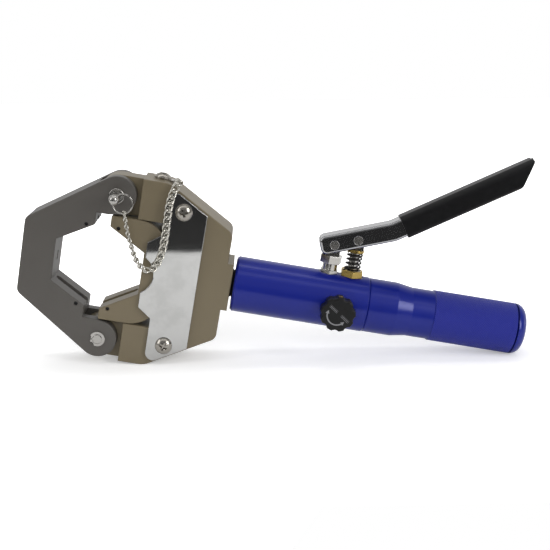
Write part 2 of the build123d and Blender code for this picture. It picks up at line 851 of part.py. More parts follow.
def pump_body():
    solid = bar_x(tube_diameter, tube_front_x, seam_x)
    solid = chamfer(solid.edges().group_by(Axis.X)[0], tube_front_chamfer)
    solid = chamfer(solid.edges().group_by(Axis.X)[-1], seam_chamfer)
    solid += bar_x(spigot_diameter - 2 * spigot_fit, seam_x, spigot_end_x)
    solid += bar_x(nipple_diameter, spigot_end_x, nipple_end_x)
    groove_x = (seam_x + spigot_end_x) / 2
    groove = spigot_diameter - 2 * oring_section
    solid -= ring_x(spigot_diameter, groove, groove_x - oring_section, groove_x + oring_section)
    solid -= bar_x(cylinder_bore, tube_front_x, cylinder_end_x)
    for x, across in ((fulcrum_x, post_base_across), (plunger_x, gland_across)):
        spot = across / math.cos(math.radians(30)) + 1
        solid -= bar_z(spot, seat_height, tube_radius + cut_over, x)
    stud_floor = seat_height - post_stud_length - thread_fit
    solid -= bar_z(post_stud_diameter + 2 * thread_fit, stud_floor, seat_height, fulcrum_x)
    gland_floor = seat_height - gland_thread_length - plunger_seal_height
    solid -= bar_z(gland_thread_diameter + 2 * thread_fit, gland_floor, seat_height, plunger_x)
    solid -= bar_z(plunger_diameter + 2 * plunger_fit, plunger_bore_bottom, gland_floor, plunger_x)
    outlet_end = cylinder_end_x + outlet_chamber_length
    solid -= bar_x(valve_bore, cylinder_end_x, outlet_end, z=valve_line_height)
    solid -= bar_x(valve_seat_diameter, outlet_end, plunger_x, z=valve_line_height)
    inlet_end = nipple_end_x - inlet_chamber_length
    solid -= bar_x(valve_bore, inlet_end, nipple_end_x, z=valve_line_height)
    solid -= bar_x(valve_seat_diameter, plunger_x, inlet_end, z=valve_line_height)
    solid -= bar_y(stem_diameter + 2 * stem_fit, -tube_radius - cut_over, stem_seat_y, knob_x, knob_height)
    passage_end_y = (stem_seat_y + passage_diameter) / 2
    solid -= bar_y(passage_diameter, stem_seat_y, passage_end_y, knob_x, knob_height)
    solid -= bar_x(cross_passage_diameter, cylinder_end_x, knob_x, y=stem_seat_y / 2, z=knob_height)
    drain_z = knob_height + drain_diameter
    drain_x = knob_x + stem_diameter / 4
    solid -= bar_x(drain_diameter, drain_x, nipple_end_x, y=stem_seat_y - 0.3, z=drain_z)
    solid -= bar_y(valve_bore, relief_seat_y, tube_radius + cut_over, relief_x(), valve_line_height)
    solid -= bar_y(relief_seat_diameter, 0, relief_seat_y, relief_x(), valve_line_height)
    drain_y = nipple_diameter / 2 - 1.5 * drain_diameter
    drain_z = valve_line_height + drain_diameter
    return solid - bar_x(drain_diameter, relief_x(), nipple_end_x, y=drain_y, z=drain_z)


def seated_ball(diameter, seat):
    # Distance from the seat's edge plane to the middle of a ball that rests on it.
    return math.sqrt(diameter * diameter - seat * seat) / 2 + ball_seat_gap


def outlet_ball_x():
    return cylinder_end_x + outlet_chamber_length - seated_ball(valve_ball_diameter, valve_seat_diameter)


def outlet_check_ball():
    return Pos(outlet_ball_x(), 0, valve_line_height) * Sphere(valve_ball_diameter / 2)


def outlet_check_spring():
    start = cylinder_end_x + valve_plug_length + spring_seat_gap
    length = outlet_ball_x() - valve_ball_diameter / 2 - start + valve_spring_wire
    spring = coil(valve_spring_mean_radius, valve_spring_wire, length, valve_spring_turns)
    return Pos(start, 0, valve_line_height) * Rot(0, 90, 0) * spring


def valve_plug(start):
    plug = bar_x(valve_bore - 2 * thread_fit, start, start + valve_plug_length, z=valve_line_height)
    return plug - bar_x(valve_plug_hole, start, start + valve_plug_length, z=valve_line_height)


def outlet_valve_plug():
    return valve_plug(cylinder_end_x)


def inlet_valve_plug():
    return valve_plug(nipple_end_x - valve_plug_length)


def inlet_ball_x():
    return nipple_end_x - valve_plug_length - seated_ball(valve_ball_diameter, valve_plug_hole)


def inlet_check_ball():
    return Pos(inlet_ball_x(), 0, valve_line_height) * Sphere(valve_ball_diameter / 2)


def inlet_check_spring():
    start = nipple_end_x - inlet_chamber_length + spring_seat_gap
    length = inlet_ball_x() - valve_ball_diameter / 2 - start + valve_spring_wire
    spring = coil(valve_spring_mean_radius, valve_spring_wire, length, valve_spring_turns)
    return Pos(start, 0, valve_line_height) * Rot(0, 90, 0) * spring


def relief_ball_y():
    return relief_seat_y + seated_ball(relief_ball_diameter, relief_seat_diameter)


def relief_screw_y():
    return math.sqrt(tube_radius**2 - valve_line_height**2) - relief_screw_recess


def relief_ball():
    return Pos(relief_x(), relief_ball_y(), valve_line_height) * Sphere(relief_ball_diameter / 2)


def relief_spring():
    start = relief_ball_y() + relief_ball_diameter / 2 - valve_spring_wire
    length = relief_screw_y() - relief_screw_length - spring_seat_gap - start
    spring = coil(valve_spring_mean_radius, valve_spring_wire, length, valve_spring_turns)
    return Pos(relief_x(), start, valve_line_height) * Rot(-90, 0, 0) * spring


def relief_screw():
    end = relief_screw_y()
    start = end - relief_screw_length
    screw = bar_y(valve_bore - 2 * thread_fit, start, end, relief_x(), valve_line_height)
    socket = Pos(relief_x(), end, valve_line_height) * Rot(90, 0, 0)
    return screw - socket * extrude(RegularPolygon(socket_across / 2, 6, major_radius=False), socket_depth)


def fulcrum_post():
    base_top = seat_height + post_base_height
    neck_top = base_top + post_neck_height
    collar_top = neck_top + post_collar_height
    solid = bar_z(post_stud_diameter, seat_height - post_stud_length, seat_height, fulcrum_x)
    solid += hexagon_z(post_base_across, seat_height, base_top, fulcrum_x, post_base_turn)
    solid += bar_z(post_neck_diameter, base_top, neck_top, fulcrum_x)
    solid += hexagon_z(post_collar_across, neck_top, collar_top, fulcrum_x, post_collar_turn)
    eye = Circle(post_eye_radius) + Pos(0, (collar_top - fulcrum_height) / 2) * Rectangle(
        2 * post_eye_radius, fulcrum_height - collar_top
    )
    solid += slab(Pos(fulcrum_x, fulcrum_height) * eye, -post_eye_width / 2, post_eye_width / 2)
    hole = lever_pin_diameter + 2 * lever_pin_fit
    return solid - bar_y(hole, -channel_width, channel_width, fulcrum_x, fulcrum_height)


def lever_outline(low, high, nose, rear, radius):
    # Side view about the fulcrum pin: straight along the pins, then bent up for the grip.
    bend = math.radians(channel_bend)
    middle = channel_height / 2 - channel_below_pins

    def past(offset):
        along = channel_to_bend - (offset - middle) * math.tan(bend / 2)
        return along, offset

    def end(offset):
        x = channel_to_bend + rear * math.cos(bend) - (offset - middle) * math.sin(bend)
        return x, middle + rear * math.sin(bend) + (offset - middle) * math.cos(bend)

    points = [(-nose, low, radius), (*past(low), channel_bend_radius), (*end(low), 0)]
    points += [(*end(high), 0), (*past(high), channel_bend_radius), (-nose, high, radius)]
    return outline(points)


def lever_channel():
    rear = bend_to_grip + grip_length - grip_slant - grip_end_wall
    low, high = -channel_below_pins, channel_height - channel_below_pins
    side = lever_outline(low, high, channel_nose, rear, channel_nose_radius)
    solid = slab(side, -channel_width / 2, channel_width / 2)
    long_edges = solid.edges().filter_by(Axis.Y, reverse=True).sort_by(Axis.X)[:-2]
    solid = fillet(long_edges, channel_edge_radius)
    inner_radius = max(channel_nose_radius - channel_wall, 0.5)
    nose = channel_nose - channel_wall
    hollow = lever_outline(low - channel_wall, high - channel_wall, nose, rear + 1, inner_radius)
    inside = channel_width / 2 - channel_wall
    solid -= slab(hollow, -inside, inside)
    for x in (0, lever_arm):
        solid -= bar_y(lever_pin_diameter + 2 * thread_fit, -channel_width, channel_width, x, 0)
    return lever_place * solid


def grip_frame():
    # Place of the grip's front end: x along the grip, z up across it.
    bend = math.radians(channel_bend)
    middle = channel_height / 2 - channel_below_pins
    x = channel_to_bend + bend_to_grip * math.cos(bend)
    z = middle + bend_to_grip * math.sin(bend)
    return lever_place * Pos(x, 0, z) * Rot(0, -channel_bend, 0)


def grip_section(along, wall, low_radius, top_radius):
    width, height = channel_width / 2 + wall, channel_height / 2 + wall
    corners = [(-width, -height, low_radius), (width, -height, low_radius)]
    corners += [(width, height, top_radius), (-width, height, top_radius)]
    return Plane((along, 0, 0), x_dir=(0, 1, 0), z_dir=(1, 0, 0)) * outline(corners)


def lever_grip():
    front = grip_section(0, grip_wall_front, grip_low_radius, grip_top_radius)
    rear = grip_section(grip_length, grip_wall_rear, grip_low_radius, grip_top_radius)
    solid = loft([front, rear], ruled=True)
    half = channel_height / 2 + max(grip_wall_front, grip_wall_rear)
    side = [(-half, -half, 0), (grip_length - grip_slant, -half, grip_heel_radius)]
    side += [(grip_length, half, grip_end_radius), (-half, half, 0)]
    solid &= slab(outline(side), -channel_width, channel_width)
    solid += Pos(grip_length - grip_tip_back, 0, half - grip_tip_drop) * Sphere(grip_tip_radius)
    depth = grip_length - grip_slant - grip_end_wall + grip_channel_gap
    bore_radius = channel_edge_radius + grip_channel_gap
    bore = grip_section(0, grip_channel_gap, bore_radius, bore_radius)
    return grip_frame() * (solid - extrude(bore, depth))


def lever_pin(along):
    return lever_place * bar_y(lever_pin_diameter, -channel_width / 2, channel_width / 2, along, 0)


def fulcrum_pin():
    return lever_pin(0)


def plunger_pin():
    return lever_pin(lever_arm)


def plunger():
    eye = Circle(plunger_eye_radius)
    eye += Pos(0, -collar_from_pin / 2) * Rectangle(2 * plunger_eye_radius, collar_from_pin)
    pin_swing = lever_arm * (1 - math.cos(math.radians(lever_angle)))
    slot = lever_pin_diameter + 2 * plunger_eye_play
    eye -= SlotOverall(slot + pin_swing, slot)
    solid = slab(Pos(plunger_x, plunger_pin_z) * eye, -plunger_eye_width / 2, plunger_eye_width / 2)
    return solid + bar_z(plunger_diameter, plunger_bottom, plunger_pin_z - slot / 2 - 1, plunger_x)


def spring_collar():
    collar = bar_z(collar_diameter, collar_top_z - collar_height, collar_top_z, plunger_x)
    collar = chamfer(collar.edges(), 0.4)
    return collar - bar_z(plunger_diameter + 2 * plunger_fit, 0, collar_top_z, plunger_x)


def plunger_spring():
    floor = gland_top_z - gland_pocket_depth + spring_seat_gap
    length = collar_top_z - collar_height - spring_seat_gap - floor
    spring = coil(plunger_spring_mean_radius, plunger_spring_wire, length, plunger_spring_turns)
    return Pos(plunger_x, 0, floor) * spring


def gland_nut():
    solid = hexagon_z(gland_across, seat_height, gland_top_z, plunger_x, gland_turn)
    round_top = Cone(gland_across * 0.5 + gland_height, gland_across * 0.5, gland_height)
    solid &= Pos(plunger_x, 0, gland_top_z - gland_height / 2) * round_top
    solid += bar_z(gland_thread_diameter, seat_height - gland_thread_length, seat_height, plunger_x)
    solid -= bar_z(plunger_diameter + 2 * plunger_fit, 0, gland_top_z, plunger_x)
    return solid - bar_z(gland_pocket_diameter, gland_top_z - gland_pocket_depth, gland_top_z, plunger_x)


def plunger_seal():
    top = seat_height - gland_thread_length - seal_fit
    low = top - plunger_seal_height + 2 * seal_fit
    ring = bar_z(gland_thread_diameter - 2 * seal_fit, low, top, plunger_x)
    return ring - bar_z(plunger_diameter + 2 * plunger_fit, low, top, plunger_x)


def knob_back_y():
    return -tube_radius - knob_gap


def release_knob():
    notch_place = knob_diameter / 2 + knob_notch_radius - knob_notch_depth
    face = Circle(knob_diameter / 2)
    for i in range(knob_lobes):
        turn = 90 + (i + 0.5) * 360 / knob_lobes
        face -= Rot(0, 0, turn) * Pos(notch_place, 0) * Circle(knob_notch_radius)
    solid = slab(face, -knob_thickness, 0)
    solid = fillet(solid.edges().filter_by(Axis.Y), knob_lobe_rounding)
    solid = fillet(solid.faces().sort_by(Axis.Y)[0].edges(), knob_edge_radius)
    solid -= bar_y(stem_shaft_diameter + 2 * stem_fit, -stem_shaft_in_knob - stem_fit, 0, 0, 0)
    grub = bar_z(grub_diameter + 2 * thread_fit, stem_shaft_diameter / 2, knob_diameter, 0)
    solid -= Pos(0, -grub_from_back, 0) * grub
    return Pos(knob_x, knob_back_y(), knob_height) * solid


def knob_grub_screw():
    start = stem_shaft_diameter / 2 + stem_fit + thread_fit
    screw = bar_z(grub_diameter, start, knob_diameter / 2 + grub_proud, 0)
    return Pos(knob_x, knob_back_y() - grub_from_back, knob_height) * screw


def release_stem():
    thread_end = stem_seat_y - 2.5
    seat = passage_diameter / 2 - stem_tip_gap
    cone_top = stem_shaft_diameter / 2
    tip_y = stem_seat_y + 0.8
    tip = seat - (cone_top - seat) / (stem_seat_y - thread_end) * (tip_y - stem_seat_y)
    profile = [
        (0, tip_y),
        (tip, tip_y),
        (cone_top, thread_end),
        (stem_diameter / 2, thread_end - 0.6),
        (stem_diameter / 2, -tube_radius + 2.2),
        (stem_shaft_diameter / 2, -tube_radius + 2.2),
        (stem_shaft_diameter / 2, knob_back_y() - stem_shaft_in_knob),
        (0, knob_back_y() - stem_shaft_in_knob),
    ]
    return Pos(knob_x, 0, knob_height) * revolve(make_face(Polyline(*profile, close=True)), Axis.Y)


def release_stem_seal():
    middle = -tube_radius + 2.2 - stem_seal_section / 2 - seal_fit
    inner = stem_shaft_diameter / 2 + seal_fit
    outer = stem_diameter / 2 - seal_fit / 2
    half = stem_seal_section / 2 - seal_fit
    ring = bar_y(2 * outer, middle - half, middle + half, knob_x, knob_height)
    return ring - bar_y(2 * inner, middle - half, middle + half, knob_x, knob_height)


def reservoir_handle():
    front, rear = grip_front_diameter / 2, grip_rear_diameter / 2
    handle_front, neck = handle_front_diameter / 2, handle_neck_diameter / 2
    profile = [
        (seam_x, handle_front - seam_chamfer),
        (seam_x + seam_chamfer, handle_front),
        (taper_start_x, handle_front),
        (taper_end_x, neck),
        (knurl_start_x, neck),
        (knurl_start_x + 0.6, front),
        (knurl_end_x - 0.4, rear),
        (knurl_end_x, rear - 0.4),
        (knurl_end_x, handle_bore / 2),
        (spigot_end_x + spigot_fit, handle_bore / 2),
        (spigot_end_x + spigot_fit, spigot_diameter / 2),
        (seam_x, spigot_diameter / 2),
    ]
    return turned_x(profile)


def end_cap():
    start = knurl_end_x + cap_seam
    radius = grip_rear_diameter / 2
    face = outline(
        [(start, 0, 0), (start, radius, 0.4), (cap_end_x, radius, cap_radius), (cap_end_x, 0, 0)]
    )
    solid = revolve(Plane.XZ * face, Axis.X)
    plug = handle_bore - 2 * spigot_fit
    solid += bar_x(plug, start - cap_spigot_length, start)
    middle = start - cap_spigot_length / 2
    groove = plug - 2 * oring_section
    return solid - ring_x(handle_bore, groove, middle - oring_section, middle + oring_section)


def oring_x(outer, x):
    ring = Torus(outer / 2 - oring_section / 2, oring_section / 2 - seal_fit)
    return Pos(x, 0, 0) * Rot(0, 90, 0) * ring


def end_cap_seal():
    return oring_x(handle_bore, knurl_end_x + cap_seam - cap_spigot_length / 2)


def reservoir_seal():
    return oring_x(spigot_diameter, (seam_x + spigot_end_x) / 2)


def oil_bladder():
    radius = handle_bore / 2 - bladder_gap
    mouth = nipple_diameter / 2 + thread_fit
    start = spigot_end_x + bladder_gap
    end = start + bladder_length
    shoulder = nipple_end_x + bladder_gap
    profile = [
        (start, mouth),
        (start, mouth + bladder_wall),
        (shoulder, mouth + bladder_wall),
        (shoulder + bladder_wall, radius),
        (end - radius / 2, radius),
        (end, radius / 2),
        (end, 0),
        (end - bladder_wall, 0),
        (end - bladder_wall, radius / 2 - bladder_wall / 2),
        (end - radius / 2 - bladder_wall / 2, radius - bladder_wall),
        (shoulder + 2 * bladder_wall, radius - bladder_wall),
        (shoulder + bladder_wall, mouth),
    ]
    return turned_x(profile)


def yoke_die_pins():
    return die_pins(-yoke_tip_setback, 1, half_thick)


def ram_die_pins():
    return die_pins(ram_tip_x, -1, ram_half_thick)


makers = [
    yoke,
    yoke_die_pins,
    head_body,
    front_guide_plate,
    rear_guide_plate,
    guide_plate_screws,
    hinge_pin,
    hinge_retaining_rings,
    chain_eyelet,
    chain_anchor_screw,
    pin_chain,
    quick_release_pin,
    pin_ring,
    ram_block,
    ram_die_pins,
    ram_rod,
    piston,
    piston_seal,
    piston_nut,
    return_spring,
    threaded_neck,
    pump_body,
    outlet_check_ball,
    outlet_check_spring,
    outlet_valve_plug,
    inlet_check_ball,
    inlet_check_spring,
    inlet_valve_plug,
    relief_ball,
    relief_spring,
    relief_screw,
    fulcrum_post,
    gland_nut,
    plunger_seal,
    plunger,
    spring_collar,
    plunger_spring,
    lever_channel,
    lever_grip,
    fulcrum_pin,
    plunger_pin,
    release_knob,
    knob_grub_screw,
    release_stem,
    release_stem_seal,
    reservoir_handle,
    reservoir_seal,
    oil_bladder,
    end_cap,
    end_cap_seal,
]


def stand_lean():
    # Angle at which the head's rounded lower corner and the end cap's rim rest on one plane.
    rim_x = cap_end_x - cap_radius
    rim_z = -grip_rear_diameter / 2 + cap_radius
    bend_x = flat_end_x - body_bend_radius * math.tan(math.radians(body_diagonal_angle / 2))
    bend_z = body_bend_radius - body_half_height
    run, rise = rim_x - bend_x, rim_z - bend_z
    dip = math.asin((cap_radius - body_bend_radius) / math.hypot(run, rise))
    return math.degrees(math.atan2(rise, run) - dip)


def stand_place(shapes):
    # Leans the tool and puts the origin under the middle of its box; the chain doesn't count.
    leaned = Rot(0, stand_lean(), 0)
    counted = [shape for name, shape in shapes.items() if name != "pin_chain"]
    box = Compound([leaned * solid for shape in counted for solid in shape.solids()]).bounding_box()
    return Pos(-box.center().X, -box.center().Y, -box.min.Z) * leaned


nodes = {}
for maker in makers:
    made = maker()
    nodes[maker.__name__] = Compound(made) if isinstance(made, list) else made
stand = stand_place(nodes)
os.makedirs("parts", exist_ok=True)
for name, shape in nodes.items():
    export_step(stand * shape, f"parts/{name}.step")
print(f"lean {stand_lean():.2f} degrees, plunger stroke {plunger_stroke:.2f} mm, {len(nodes)} nodes")
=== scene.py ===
import bpy
import json
import math
import numpy as np
from mathutils import Matrix, Vector


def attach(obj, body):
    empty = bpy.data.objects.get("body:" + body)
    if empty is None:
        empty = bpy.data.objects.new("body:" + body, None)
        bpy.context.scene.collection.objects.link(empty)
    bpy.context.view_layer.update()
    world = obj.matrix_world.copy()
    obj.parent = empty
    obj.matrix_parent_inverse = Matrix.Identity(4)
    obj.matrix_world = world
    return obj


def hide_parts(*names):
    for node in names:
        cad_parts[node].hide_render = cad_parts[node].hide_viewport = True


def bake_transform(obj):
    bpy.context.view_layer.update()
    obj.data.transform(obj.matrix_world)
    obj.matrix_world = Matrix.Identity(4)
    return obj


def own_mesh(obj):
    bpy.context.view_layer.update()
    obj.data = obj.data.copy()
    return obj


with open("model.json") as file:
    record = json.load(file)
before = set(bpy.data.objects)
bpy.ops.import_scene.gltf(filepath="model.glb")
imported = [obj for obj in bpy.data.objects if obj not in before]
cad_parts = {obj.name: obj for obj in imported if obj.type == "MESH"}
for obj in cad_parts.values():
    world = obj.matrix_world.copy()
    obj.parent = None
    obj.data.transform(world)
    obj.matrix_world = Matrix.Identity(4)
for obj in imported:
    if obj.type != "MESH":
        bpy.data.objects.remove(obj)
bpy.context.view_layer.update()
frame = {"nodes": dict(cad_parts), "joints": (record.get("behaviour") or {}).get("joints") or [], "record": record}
nodes = frame["nodes"]
joints = {joint["name"]: joint for joint in frame["joints"]}
print("frame loaded:", len(nodes), "nodes")

# The tool's own frame: x along its axis from the middle of the closed die opening.
swivelFromOpening = 0.1064
toolX = Vector(joints["head_swivel"]["axis"]).normalized()
toolY = Vector((0, 1, 0))
toolZ = toolX.cross(toolY)
toolOrigin = Vector(joints["head_swivel"]["pos_m"]) - toolX * swivelFromOpening
sceneX = Vector((1, 0, 0))
sceneY = Vector((0, 1, 0))
sceneZ = Vector((0, 0, 1))


def toolPoint(x, y, z):
    # A place given in the tool's own frame, in millimetres.
    return toolOrigin + (toolX * x + toolY * y + toolZ * z) / 1000


def addObject(name, data):
    obj = bpy.data.objects.new(name, data)
    bpy.context.scene.collection.objects.link(obj)
    return obj


def grey(level):
    return (level,) * 3


bevelSamples = 6


class Value:
    # One output of a shader node; sums and products with it become math nodes.
    def __init__(self, shader, socket):
        self.shader = shader
        self.socket = socket

    def math(self, operation, *others):
        return self.shader.node("ShaderNodeMath", {"operation": operation}, self, *others)

    def __add__(self, other):
        return self.math("ADD", other)

    __radd__ = __add__

    def __mul__(self, other):
        return self.math("MULTIPLY", other)

    __rmul__ = __mul__

    def __sub__(self, other):
        return self.math("SUBTRACT", other)

    def __rsub__(self, other):
        return self * -1 + other

    def __abs__(self):
        return self.math("ABSOLUTE")

    def __lt__(self, other):
        return self.math("LESS_THAN", other)

    def __gt__(self, other):
        return self.math("GREATER_THAN", other)

    def about(self, middle, swing):
        # A value from 0 to 1 spread evenly to both sides of a middle.
        return self * swing + (middle - swing / 2)

    def smooth(self, low, high):
        settings = {"interpolation_type": "SMOOTHSTEP", "clamp": True}
        return self.shader.node("ShaderNodeMapRange", settings, self, low, high, 0.0, 1.0)


class Shader:
    # The nodes of one material, or of the world.
    def __init__(self, tree):
        self.tree = tree
        self.surface = tree.nodes.get("Principled BSDF")

    def feed(self, socket, value):
        if isinstance(value, Value):
            self.tree.links.new(value.socket, socket)
        elif socket.type == "RGBA":
            socket.default_value = (*value, 1)
        else:
            socket.default_value = value

    def set(self, **inputs):
        for name, value in inputs.items():
            self.feed(self.surface.inputs[name.replace("_", " ")], value)
        return self

    def node(self, kind, settings, *sockets, out=0, **named):
        made = self.tree.nodes.new(kind)
        for name, value in settings.items():
            setattr(made, name, value)
        for socket, value in zip(made.inputs, sockets):
            self.feed(socket, value)
        for name, value in named.items():
            self.feed(made.inputs[name.replace("_", " ")], value)
        return Value(self, made.outputs[out])

    def place(self):
        return self.node("ShaderNodeTexCoord", {}, out=3)

    def along(self, direction, origin=toolOrigin):
        # Distance of the shaded point from an origin along a direction, in millimetres.
        moved = self.node("ShaderNodeVectorMath", {"operation": "SUBTRACT"}, self.place(), tuple(origin))
        scaled = tuple(direction * 1000)
        return self.node("ShaderNodeVectorMath", {"operation": "DOT_PRODUCT"}, moved, scaled, out=1)

    def noise(self, scale, detail, rough=0.5, stretch=(1, 1, 1)):
        spread = self.node("ShaderNodeVectorMath", {"operation": "MULTIPLY"}, self.place(), stretch)
        sockets = {"Vector": spread, "Scale": scale, "Detail": detail, "Roughness": rough}
        return self.node("ShaderNodeTexNoise", {}, **sockets)

    def mix(self, factor, first, second):
        made = self.node("ShaderNodeMix", {"data_type": "RGBA", "clamp_factor": True}, out=2)
        inputs = made.socket.node.inputs
        for index, value in ((0, factor), (6, first), (7, second)):
            self.feed(inputs[index], value)
        return made

    def bump(self, height, depth, strength, edge):
        # Dents in a surface whose edges look rounded to a radius.
        rounded = self.node("ShaderNodeBevel", {"samples": bevelSamples}, edge)
        sockets = {"Strength": strength, "Distance": depth, "Height": height, "Normal": rounded}
        return self.node("ShaderNodeBump", {}, **sockets)


materials = {}


def newShader(name, **constants):
    # A new material with one Principled surface.
    materials[name] = bpy.data.materials.new(name)
    materials[name].use_nodes = True
    return Shader(materials[name].node_tree).set(**constants)


# Satin anodised metal of the head
anodised = {
    "yoke_grey": {
        "dark": (0.077, 0.071, 0.064), "light": (0.097, 0.09, 0.082), "rough": 0.44, "metal": 0.1,
    },
    "body_bronze": {
        "dark": (0.15, 0.122, 0.075), "light": (0.178, 0.147, 0.092), "rough": 0.4, "metal": 0.06,
    },
}
anodisedGrain = {
    "fine": (2600, 3), "fineSwing": 0.1, "broad": (38, 4), "broadSwing": 0.08, "broadShare": 0.7,
    "depth": 0.00004, "strength": 0.35, "edge": 0.0006, "gloss": 0.5,
}
for name, look in anodised.items():
    shader = newShader(name, Metallic=look["metal"], Specular_IOR_Level=anodisedGrain["gloss"])
    grain = shader.noise(*anodisedGrain["fine"])
    cloud = shader.noise(*anodisedGrain["broad"])
    tone = cloud * anodisedGrain["broadShare"] + grain * (1 - anodisedGrain["broadShare"])
    fineRough = grain.about(look["rough"], anodisedGrain["fineSwing"])
    dents = (anodisedGrain["depth"], anodisedGrain["strength"], anodisedGrain["edge"])
    shader.set(
        Base_Color=shader.mix(tone, look["dark"], look["light"]),
        Roughness=fineRough + cloud.about(0, anodisedGrain["broadSwing"]),
        Normal=shader.bump(grain, *dents),
    )

# Polished plates, with a faint wave and fine rubbing marks
plate = {
    "clear": (0.57, 0.57, 0.56), "smudged": (0.5, 0.5, 0.49), "smudges": (55, 4, 0.6), "rim": (0.42, 0.68),
    "marks": (900, 3), "markStretch": (0.05, 1, 1), "rough": 0.05, "swing": 0.05,
    "waves": (26, 2), "depth": 0.00012, "strength": 0.5, "edge": 0.001,
}
shader = newShader("plate_polish", Metallic=1.0)
wave = shader.noise(*plate["waves"])
marks = shader.noise(*plate["marks"], stretch=plate["markStretch"])
smudge = shader.noise(*plate["smudges"]).smooth(*plate["rim"])
shader.set(
    Base_Color=shader.mix(smudge, plate["clear"], plate["smudged"]),
    Roughness=marks.about(plate["rough"], plate["swing"]),
    Normal=shader.bump(wave, plate["depth"], plate["strength"], plate["edge"]),
)

# Bare and plated metals
metals = {
    "screw_steel": {"color": (0.42, 0.395, 0.355), "rough": 0.24, "spots": 700, "edge": 0.00035},
    "pin_steel": {"color": (0.5, 0.485, 0.46), "rough": 0.23, "spots": 700, "edge": 0.00035},
    "chain_nickel": {"color": (0.68, 0.66, 0.6), "rough": 0.26, "spots": 900, "edge": 0.0002},
    "post_chrome": {"color": (0.52, 0.505, 0.48), "rough": 0.12, "spots": 500, "edge": 0.0004},
    "lever_chrome": {"color": (0.42, 0.42, 0.43), "rough": 0.1, "spots": 60, "edge": 0.0004},
    "brass": {"color": (0.44, 0.315, 0.1), "rough": 0.2, "spots": 500, "edge": 0.0004},
    "spring_black": {"color": (0.045, 0.043, 0.042), "rough": 0.34, "spots": 800, "edge": 0.0002},
    "inner_steel": {"color": (0.55, 0.55, 0.55), "rough": 0.3, "spots": 500, "edge": 0.0003},
}
metalSpots = {
    "detail": 3, "dulled": 0.93, "rim": (0.35, 0.65), "swing": 0.1, "depth": 0.000006, "strength": 0.3,
}
for name, look in metals.items():
    shader = newShader(name, Metallic=1.0)
    spots = shader.noise(look["spots"], metalSpots["detail"])
    dull = tuple(value * metalSpots["dulled"] for value in look["color"])
    shader.set(
        Base_Color=shader.mix(spots.smooth(*metalSpots["rim"]), dull, look["color"]),
        Roughness=spots.about(look["rough"], metalSpots["swing"]),
        Normal=shader.bump(spots, metalSpots["depth"], metalSpots["strength"], look["edge"]),
    )

# Blue anodised tube, handle and cap, with a diamond knurl on the handle's grip; the knurl's colour is a painted
# glint, paler on the tooth crests and darker in the valleys
blue = {
    "deep": (0.002, 0.009, 0.185), "pale": (0.004, 0.013, 0.225), "cloud": (30, 3),
    "grain": (1800, 2), "rough": 0.3, "swing": 0.06, "edge": 0.0005,
    "metal": 0.1, "gloss": 0.35, "coat": 0.18, "coatRough": 0.16,
}
knurl = {
    "start": 264.2, "end": 328.9, "fade": 0.2, "teeth": 84, "slant": 1.0, "radius": 19.8, "depth": 0.0005,
    "strength": 0.9, "color": (0.03, 0.038, 0.36), "valleyGlintShare": 0.3, "rougher": 0.1,
}
shader = newShader("tube_blue", Metallic=blue["metal"], Specular_IOR_Level=blue["gloss"])
grain = shader.noise(*blue["grain"])
cloud = shader.noise(*blue["cloud"])
along = shader.along(toolX)
angle = shader.along(toolY).math("ARCTAN2", shader.along(toolZ))
turns = angle * (knurl["teeth"] / (2 * math.pi))
climb = along * (knurl["slant"] * knurl["teeth"] / (2 * math.pi * knurl["radius"]))
ridges = []
for lean in (turns + climb, turns - climb):
    ridges.append(abs(lean.math("FRACT") - 0.5) * 2)
tooth = ridges[0].math("MINIMUM", ridges[1])
begun = along.smooth(knurl["start"] - knurl["fade"], knurl["start"] + knurl["fade"])
ended = along.smooth(knurl["end"] - knurl["fade"], knurl["end"] + knurl["fade"])
inside = begun * (1 - ended)
# Painted glint: the knurled band takes a paler blue, fullest on the tooth crests and weaker in the valleys, where
# it stands for painted shade
paintedKnurlGlint = inside * (tooth * (1 - knurl["valleyGlintShare"]) + knurl["valleyGlintShare"])
shader.set(
    Base_Color=shader.mix(paintedKnurlGlint, shader.mix(cloud, blue["deep"], blue["pale"]), knurl["color"]),
    Roughness=grain.about(blue["rough"], blue["swing"]) + inside * knurl["rougher"],
    Coat_Weight=blue["coat"] * (1 - inside),
    Coat_Roughness=blue["coatRough"],
    Normal=shader.bump(tooth * inside, knurl["depth"], knurl["strength"], blue["edge"]),
)

# Black vinyl, oxide and rubber
blacks = {
    "grip_black": {
        "color": (0.003, 0.003, 0.0034), "rough": 0.36, "lumps": 240, "depth": 0.00012, "edge": 0.0012,
    },
    "neck_black": {
        "color": (0.014, 0.014, 0.015), "rough": 0.42, "lumps": 900, "depth": 0.00003, "edge": 0.0002,
    },
    "seal_rubber": {
        "color": (0.016, 0.016, 0.016), "rough": 0.6, "lumps": 600, "depth": 0.00004, "edge": 0.0002,
    },
}
blackLumps = {"detail": 3, "paler": 1.8, "swing": 0.14, "strength": 0.5, "gloss": 0.28}
for name, look in blacks.items():
    shader = newShader(name, Specular_IOR_Level=blackLumps["gloss"])
    lump = shader.noise(look["lumps"], blackLumps["detail"])
    paler = tuple(value * blackLumps["paler"] for value in look["color"])
    shader.set(
        Base_Color=shader.mix(lump, look["color"], paler),
        Roughness=lump.about(look["rough"], blackLumps["swing"]),
        Normal=shader.bump(lump, look["depth"], blackLumps["strength"], look["edge"]),
    )

